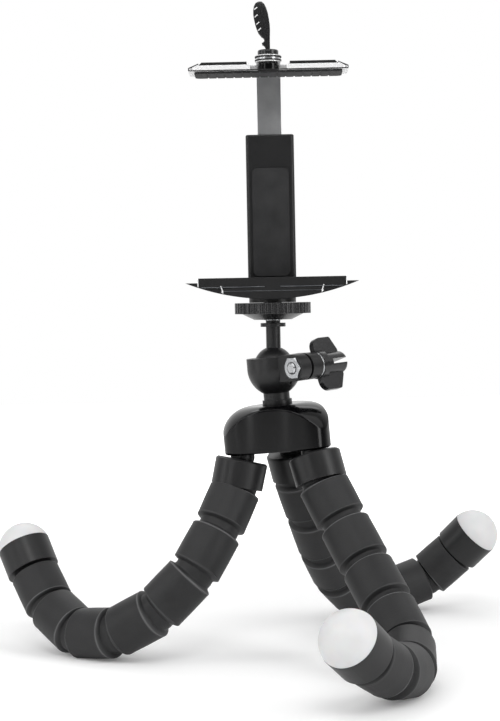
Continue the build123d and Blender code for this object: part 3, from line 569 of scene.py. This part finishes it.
def drumRings(stops, directions, number, profile, count, farHalf=False):
    # rings of one half of a drum, in order along the leg
    across = (stops[-1] - stops[0]).cross(upright).normalized()
    ends = (stops[number], stops[number + 1], directions[number], directions[number + 1])
    if farHalf:
        # the far half carries less painted highlight
        profile = [(1 - share, radius, lipHighlight * leg["farHighlight"]) for share, radius, lipHighlight in reversed(profile)]
    return [(circle(*drumPoint(*ends, share), across, radius, count), lipHighlight)
            for share, radius, lipHighlight in profile]


def plugRings(point, direction, across, radius, lengths, count):
    # rings of an end that sits in its collar or ferrule
    return [(circle(point + direction * length, direction, across, radius, count), 0) for length in lengths]


def legPieces(name):
    stops, directions = legStops(name)
    across = (stops[-1] - stops[0]).cross(upright).normalized()
    inside = leg["plugLength"]
    last = leg["drums"]
    shapes = {
        "sleeve": (sleeveProfile, leg["plugRadius"], leg["sleevePoints"], "foam", "grey_foam"),
        "wire": (wireProfile, leg["wireRadius"], leg["wirePoints"], "spring", "spring_steel"),
    }
    for kind, (profile, plugRadius, count, material, slotName) in shapes.items():
        for number in range(last + 1):
            # each piece goes from the middle of one drum to the middle of the next, over a groove
            rings = []
            if number == 0:
                lengths = (-inside, -inside / 2)
                rings += plugRings(stops[0], directions[0], across, plugRadius, lengths, count)
            else:
                length = (stops[number] - stops[number - 1]).length
                rings += drumRings(stops, directions, number - 1, profile(length), count, farHalf=True)
            if number < last:
                length = (stops[number + 1] - stops[number]).length
                nearHalf = drumRings(stops, directions, number, profile(length), count)
                rings += nearHalf[min(number, 1):]  # the half before it ends with the groove's ring
            else:
                lengths = (inside / 2, inside)
                rings += plugRings(stops[-1], directions[-1], across, plugRadius, lengths, count)
            for ring, lipHighlight in rings:
                for point in ring:
                    point.z = max(point.z, 0)  # the leg rests flat on the floor
            mesh = ringMesh([ring for ring, lipHighlight in rings], [lipHighlight for ring, lipHighlight in rings])
            piece = finishMesh(f"{name}_{kind}_{number}", mesh, material, slotName)
            if kind == "sleeve":
                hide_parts(f"{name}_foam_{min(number + 1, last)}")
            else:
                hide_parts(f"{name}_core_wire")
            if 0 < number < last:
                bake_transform(piece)
            else:
                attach(piece, f"{name}_leg_{1 if number == 0 else last}")


for legName in ("left", "front", "back"):
    legPieces(legName)
print("legs have their sleeves and wires")


# Clamp: silver liner that shows at the ends and in the groove of the lower jaw
jawLiner = {
    "lipRise": 1.6 * mm,  # of the lip's top over the underside of the pad
    "proud": 0.12 * mm,
    "depth": 0.7 * mm,
    "sheet": 0.34 * mm,
    "endHeight": 3.0 * mm,
    "endHalf": 25.6 * mm,
    "foldDrop": 5.0 * mm,
    "foldHalf": 17.4 * mm,
    "foldHeight": 2.3 * mm,
    "foldTilt": 0.35,
    "hookLength": 0.9 * mm,
    "hookAside": 0.15 * mm,  # of its middle, from the fold inwards
    "hookTilt": 0.9,
    "grooveDrop": 3.25 * mm,  # from the top of the lip to the middle of the groove
    "grooveRuns": ((-24.5 * mm, -2.6 * mm), (2.7 * mm, 24.5 * mm)),
    "grooveSheet": 0.3 * mm,
    "creaseRise": 0.35 * mm,  # over the foot of the folds
    "creaseGap": 0.6 * mm,  # between its ends and the folds
    "creaseSheet": 0.16 * mm,
    "edges": (0.1 * mm, 0.07 * mm, 0.05 * mm),  # of the ends, the groove and the crease
}


def buildJawLiner():
    low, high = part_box("lower_jaw")
    middle = (low.x + high.x) / 2
    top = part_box("lower_pad")[0].z + jawLiner["lipRise"]
    depth = jawLiner["depth"]
    front = low.y - jawLiner["proud"] + depth / 2
    thick = jawLiner["sheet"]
    endEdge, grooveEdge, creaseEdge = jawLiner["edges"]
    endHeight, foldHeight = jawLiner["endHeight"], jawLiner["foldHeight"]
    foot = top - jawLiner["foldDrop"]
    ends = bmesh.new()
    for side in (-1, 1):
        place = (middle + side * jawLiner["endHalf"], front, top - endHeight / 2)
        boxMesh(ends, place, (thick, depth, endHeight), edge=endEdge)
        fold = middle + side * jawLiner["foldHalf"]
        place = (fold, front, foot + foldHeight / 2)
        boxMesh(ends, place, (thick, depth, foldHeight), side * jawLiner["foldTilt"], endEdge)
        place = (fold - side * jawLiner["hookAside"], front, foot)
        boxMesh(ends, place, (jawLiner["hookLength"], depth, thick), -side * jawLiner["hookTilt"], endEdge)
    lines = bmesh.new()
    for start, end in jawLiner["grooveRuns"]:
        place = (middle + (start + end) / 2, front, top - jawLiner["grooveDrop"])
        boxMesh(lines, place, (end - start, depth, jawLiner["grooveSheet"]), edge=grooveEdge)
    creaseLength = 2 * (jawLiner["foldHalf"] - jawLiner["creaseGap"])
    place = (middle, front, foot + jawLiner["creaseRise"])
    boxMesh(lines, place, (creaseLength, depth, jawLiner["creaseSheet"]), edge=creaseEdge)
    for name, mesh, material in (("jaw_liner_ends", ends, "silver"), ("jaw_liner_edges", lines, "spring")):
        piece = finishMesh(name, mesh, material, "soft_aluminium")
        sharpShading(piece)
        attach(piece, "holder")


# Upper jaw: black edging round the front of the silver body
jawEdging = {
    "sheet": 0.32 * mm,
    "depth": 0.5 * mm,
    "proud": 0.1 * mm,
    "footRun": 12 * mm,
    "endRun": 3.5 * mm,
    "endDrop": 1.4 * mm,
    "middleStart": 11 * mm,
    "overlap": 0.2 * mm,
    "edge": 0.07 * mm,
}


def stripMesh(mesh, points, y):
    # flat strip through points of the front, one block for each run
    for (x0, z0), (x1, z1) in zip(points[:-1], points[1:]):
        length = math.hypot(x1 - x0, z1 - z0) + jawEdging["overlap"]
        middle = ((x0 + x1) / 2, y, (z0 + z1) / 2)
        tilt = -math.atan2(z1 - z0, x1 - x0)
        boxMesh(mesh, middle, (length, jawEdging["depth"], jawEdging["sheet"]), tilt, jawEdging["edge"])


def buildUpperEdging():
    low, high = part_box("upper_jaw")
    half = jawEdging["sheet"] / 2
    y = low.y - jawEdging["proud"] + jawEdging["depth"] / 2
    foot = low.z + half
    mesh = bmesh.new()
    for side, tip in ((-1, low.x), (1, high.x)):
        points = [
            (tip - side * jawEdging["footRun"], foot),
            (tip - side * half, foot),
            (tip - side * half, high.z - jawEdging["endDrop"]),
            (tip - side * jawEdging["endRun"], high.z),
        ]
        stripMesh(mesh, points, y)
    inner = jawEdging["middleStart"]
    stripMesh(mesh, [(low.x + inner, foot), (high.x - inner, foot)], y)
    edging = finishMesh("upper_jaw_edging", mesh, "satinAbs", "black_plastic")
    sharpShading(edging)
    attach(edging, "sliding_jaw")


# Thin dark fibre washers in the stack of bright ones by the strip
fibreWashers = {"radius": 4.6 * mm, "inner": 2.6 * mm, "height": 0.5 * mm, "rises": (0.35 * mm, 1.5 * mm)}


def buildFibreWashers():
    thumb = jointPlaces["thumb_spin"]
    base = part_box("jaw_washers")[0].z
    height, inner, radius = fibreWashers["height"], fibreWashers["inner"], fibreWashers["radius"]
    for number, rise in enumerate(fibreWashers["rises"]):
        rings = turnedRings(Vector((thumb.x, thumb.y, base + rise)),
                            [(0, inner), (0, radius), (height, radius), (height, inner)])
        mesh = ringMesh(rings + rings[:1], closed=False)
        washer = finishMesh(f"fibre_washer_{number + 1}", mesh, "rubber", "black_rubber")
        sharpShading(washer)
        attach(washer, "sliding_jaw")


# Thumb screw's paddle: a thin leaf to one side of its neck, with short grip ribs painted pale as their
# highlight
paddle = {
    "outline": [  # mm from the middle of the collar's top
        (-0.7, -0.3), (-0.7, 1.3), (-1.9, 1.6), (-2.1, 2.4), (-0.9, 2.8), (-0.9, 3.9), (-2.1, 4.3),
        (-3.2, 5.7), (-3.8, 7.2), (-4.2, 8.6), (-4.6, 10.4), (-4.85, 12.0), (-4.85, 13.6), (-4.6, 15.0),
        (-4.0, 16.1), (-3.0, 16.6), (-1.9, 16.6), (-1.0, 15.8), (-0.3, 14.4), (0.2, 12.6), (0.55, 10.5),
        (0.8, 8.6), (0.85, 6.8), (0.75, 3.8), (0.75, -0.3),
    ],
    "thickness": 1.9 * mm,
    "rimRounding": 0.35 * mm,
    "collarRadius": 3.6 * mm,
    "collarHeight": 1.9 * mm,
    "collarFoot": 0.8,  # of the radius
    "collarRounding": 0.7 * mm,
    "neckRadius": 0.3 * mm,
    "ribs": [(-3.95, 14.2), (-3.85, 11.6), (-3.35, 9.1), (-2.75, 7.0)],  # mm, as the outline
    "ribSize": (1.4 * mm, 0.4 * mm, 0.36 * mm),
    "ribTurn": math.radians(40),
    "ribEdge": 0.12 * mm,
}


def paddleCollar(centre):
    height, radius = paddle["collarHeight"], paddle["collarRadius"]
    foot = paddle["collarFoot"] * radius
    corners = [(0, foot), (0, radius), (height, radius), (height, paddle["neckRadius"])]
    profile = [(point.x, point.y) for point in softened(corners, paddle["collarRounding"])]
    mesh = ringMesh(turnedRings(centre, profile))
    return finishMesh("thumb_collar", mesh, "charcoalNylon", "black_plastic")


def paddleLeaf(base):
    mesh = bmesh.new()
    half = paddle["thickness"] / 2
    places = [(base.x + x * mm, base.z + z * mm) for x, z in paddle["outline"]]
    front, back = [[mesh.verts.new((x, base.y + side, z)) for x, z in places] for side in (-half, half)]
    mesh.faces.new(front)
    mesh.faces.new(list(reversed(back)))
    for place in range(len(front)):
        after = (place + 1) % len(front)
        mesh.faces.new((front[after], front[place], back[place], back[after]))
    rims = [edge for edge in mesh.edges if abs(edge.verts[0].co.y - edge.verts[1].co.y) < half]
    bmesh.ops.bevel(mesh, geom=rims, offset=paddle["rimRounding"], segments=3, profile=0.5, affect="EDGES")
    return finishMesh("thumb_paddle", mesh, "charcoalNylon", "black_plastic")


def paddleHighlightRibs(base):
    mesh = bmesh.new()
    for x, z in paddle["ribs"]:
        middle = (base.x + x * mm, base.y - paddle["thickness"] / 2, base.z + z * mm)
        boxMesh(mesh, middle, paddle["ribSize"], -paddle["ribTurn"], paddle["ribEdge"])
    # the pale silver on the ribs is a painted highlight
    return finishMesh("thumb_paddle_highlight_ribs", mesh, "silver", "soft_aluminium")


def buildPaddle():
    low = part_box("paddle_handle")[0]
    thumb = jointPlaces["thumb_spin"]
    centre = Vector((thumb.x, thumb.y, low.z))
    base = centre + upright * paddle["collarHeight"]
    collar, leaf, ribs = paddleCollar(centre), paddleLeaf(base), paddleHighlightRibs(base)
    for piece in (collar, leaf, ribs):
        sharpShading(piece)
        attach(piece, "thumb")
    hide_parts("paddle_handle")
    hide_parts("paddle_handle")


# Wing screw: a dark ring of painted shade in the gap between the nut and the end of its bolt
nutGapShade = {"inner": 1.55 * mm, "outer": 2.15 * mm, "height": 0.14 * mm, "sunk": 0.3 * mm, "points": 48}


def buildNutGapShade():
    nut = uniquePoints("clamp_nut")
    middle = Vector(nut.mean(0))
    near, far = sorted(turnedEnds("clamp_bolt"), key=lambda end: (end - middle).length)
    outward = (near - far).normalized()
    face = near + outward * max((Vector(point) - near).dot(outward) for point in nut)
    sunk, height, inner, outer = -nutGapShade["sunk"], nutGapShade["height"], nutGapShade["inner"], nutGapShade["outer"]
    rings = [circle(face + outward * depth, outward, upright, radius, nutGapShade["points"])
             for depth, radius in ((sunk, inner), (height, inner), (height, outer), (sunk, outer))]
    # the dark ring stands as painted shade in the gap, not as a part
    piece = finishMesh("nut_gap_shade_ring", ringMesh(rings + rings[:1], closed=False), "rubber", "black_rubber")
    sharpShading(piece)
    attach(piece, "head")


buildJawLiner()
buildUpperEdging()
buildFibreWashers()
buildPaddle()
buildNutGapShade()
print("clamp and head have their trims")


# Studio, in metres and watts: white floor and backdrop, soft lamps above, tall strip lamps at the sides
studio = {
    "floorSize": 3.0,
    "floorColour": "#fafafa",
    "whiteStart": 0.16,  # the floor's glow grows from here
    "whiteEnd": 0.6,  # and is full from here on
    "nearWhite": 0.1,  # the glow nearest to the object
    "surround": 0.38,  # strength of the room's soft light
    "darkSide": 0.1,  # strength of the mirrored room behind the photographer
    "darkTurn": (-0.15, 0.75),  # where the mirrored room starts to brighten, and is white, along Y
    "lamps": [
        # place, width and height, power
        ((-0.55, -0.35, 0.85), (0.9, 0.9), 3.0),
        ((0.65, -0.25, 0.75), (0.8, 0.8), 2.2),
        ((0.0, 0.5, 1.0), (0.9, 0.9), 2.4),
        ((0.05, -0.9, 1.0), (0.6, 0.4), 4.0),
        ((-0.85, -0.22, 0.3), (0.24, 0.8), 1.4),
        ((0.68, -0.48, 0.3), (0.22, 0.8), 2.4),
        ((-0.58, -0.69, 0.2), (0.1, 0.8), 1.1),
    ],
}


def paintedStudioFloor():
    # painted board: to the camera it glows a little more with the distance, so that it ends in white
    sockets = {"Roughness": 0.9, "Base Color": toLinear(studio["floorColour"])}
    material, tree, shader = startMaterial("paintedStudioFloor", sockets)
    place = addNode(tree, "ShaderNodeTexCoord").outputs["Object"]
    flat = addNode(tree, "ShaderNodeVectorMath", {"operation": "LENGTH"}, {0: place}).outputs["Value"]
    away = addNode(tree, "ShaderNodeMapRange", {
        "From Min": studio["whiteStart"], "From Max": studio["whiteEnd"], "To Min": studio["nearWhite"],
        "To Max": 1.0, "interpolation_type": "SMOOTHSTEP"}, {"Value": flat})
    seen = addNode(tree, "ShaderNodeLightPath").outputs["Is Camera Ray"]
    glow = addNode(tree, "ShaderNodeMath", {"operation": "MULTIPLY"}, {0: seen, 1: away.outputs["Result"]})
    white = addNode(tree, "ShaderNodeEmission", {"Color": (1, 1, 1, 1)}, {"Strength": glow.outputs[0]})
    both = addNode(tree, "ShaderNodeAddShader",
                   links={0: shader.outputs["BSDF"], 1: white.outputs["Emission"]})
    linkSockets(tree, tree.nodes["Material Output"], {"Surface": both.outputs["Shader"]})
    return material


def buildFloor():
    mesh = bmesh.new()
    half = studio["floorSize"] / 2
    corners = ((-half, -half, 0), (half, -half, 0), (half, half, 0), (-half, half, 0))
    mesh.faces.new([mesh.verts.new(corner) for corner in corners])
    built = bpy.data.meshes.new("studioFloor")
    mesh.to_mesh(built)
    mesh.free()
    floor = bpy.data.objects.new("studioFloor", built)
    built.materials.append(paintedStudioFloor())
    bpy.context.scene.collection.objects.link(floor)


def buildSurround():
    # white behind the object, darker behind the photographer, as in a room with one white wall
    world = bpy.data.worlds.new("whiteStudio")
    world.use_nodes = True
    bpy.context.scene.world = world
    tree = world.node_tree
    backdrop = tree.nodes["Background"]
    backdrop.inputs["Color"].default_value = (1, 1, 1, 1)
    path = addNode(tree, "ShaderNodeLightPath").outputs
    mirrored = addNode(tree, "ShaderNodeMath", {"operation": "MAXIMUM"},
                       {0: path["Is Glossy Ray"], 1: path["Is Transmission Ray"]}).outputs[0]
    direction = addNode(tree, "ShaderNodeTexCoord").outputs["Generated"]
    split = addNode(tree, "ShaderNodeSeparateXYZ", links={"Vector": direction}).outputs
    turnStart, turnEnd = studio["darkTurn"]
    room = addNode(tree, "ShaderNodeMapRange", {
        "From Min": turnStart, "From Max": turnEnd, "To Min": studio["darkSide"], "To Max": 1.0,
        "interpolation_type": "SMOOTHSTEP"}, {"Value": split["Y"]})
    unseen = addNode(tree, "ShaderNodeMapRange", {"To Min": studio["surround"]},
                     {"Value": mirrored, "To Max": room.outputs["Result"]})
    strength = addNode(tree, "ShaderNodeMath", {"operation": "MAXIMUM"},
                       {0: unseen.outputs["Result"], 1: path["Is Camera Ray"]})
    linkSockets(tree, backdrop, {"Strength": strength.outputs[0]})


def buildLamps(middle):
    for number, (place, size, power) in enumerate(studio["lamps"]):
        data = bpy.data.lights.new(f"softbox{number + 1}", "AREA")
        data.shape = "RECTANGLE"
        data.size, data.size_y = size
        data.energy = power
        lamp = bpy.data.objects.new(f"softbox{number + 1}", data)
        lamp.location = Vector(place)
        lamp.rotation_euler = (middle - lamp.location).to_track_quat("-Z", "Y").to_euler()
        bpy.context.scene.collection.objects.link(lamp)


# Camera at the photograph's view, placed from the middle of the ball
camera = {
    "aside": 0.9 * mm,
    "away": 608 * mm,
    "height": 124.5 * mm,
    "yaw": math.radians(0.87),
    "pitch": math.radians(2.06),
    "roll": math.radians(1.1),
    "sensor": 24.0,  # mm
    "focalShare": 1735 / 721,  # focal length in image heights
    "nearest": 0.01,
    "ballRadius": 6.9 * mm,
}


def buildCamera():
    low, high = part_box("ball_stem")
    ball = Vector(((low.x + high.x) / 2, (low.y + high.y) / 2, low.z + camera["ballRadius"]))
    yaw, pitch, roll = camera["yaw"], camera["pitch"], camera["roll"]
    forward = Vector((-math.sin(yaw) * math.cos(pitch), math.cos(yaw) * math.cos(pitch), -math.sin(pitch)))
    right = forward.cross(upright).normalized()
    up = right.cross(forward)
    rolledRight = right * math.cos(roll) - up * math.sin(roll)
    rolledUp = up * math.cos(roll) + right * math.sin(roll)
    data = bpy.data.cameras.new("photoCamera")
    data.sensor_fit = "VERTICAL"
    data.sensor_height = camera["sensor"]
    data.lens = camera["sensor"] * camera["focalShare"]
    data.clip_start = camera["nearest"]
    view = bpy.data.objects.new("photoCamera", data)
    facing = Matrix((rolledRight, rolledUp, -forward)).transposed().to_4x4()
    place = Vector((ball.x + camera["aside"], ball.y - camera["away"], camera["height"]))
    view.matrix_world = Matrix.Translation(place) @ facing
    bpy.context.scene.collection.objects.link(view)
    bpy.context.scene.camera = view
    return ball


ballMiddle = buildCamera()
buildFloor()
buildSurround()
buildLamps(ballMiddle)
bpy.context.scene.view_settings.view_transform = "Standard"
print("studio and camera are set")
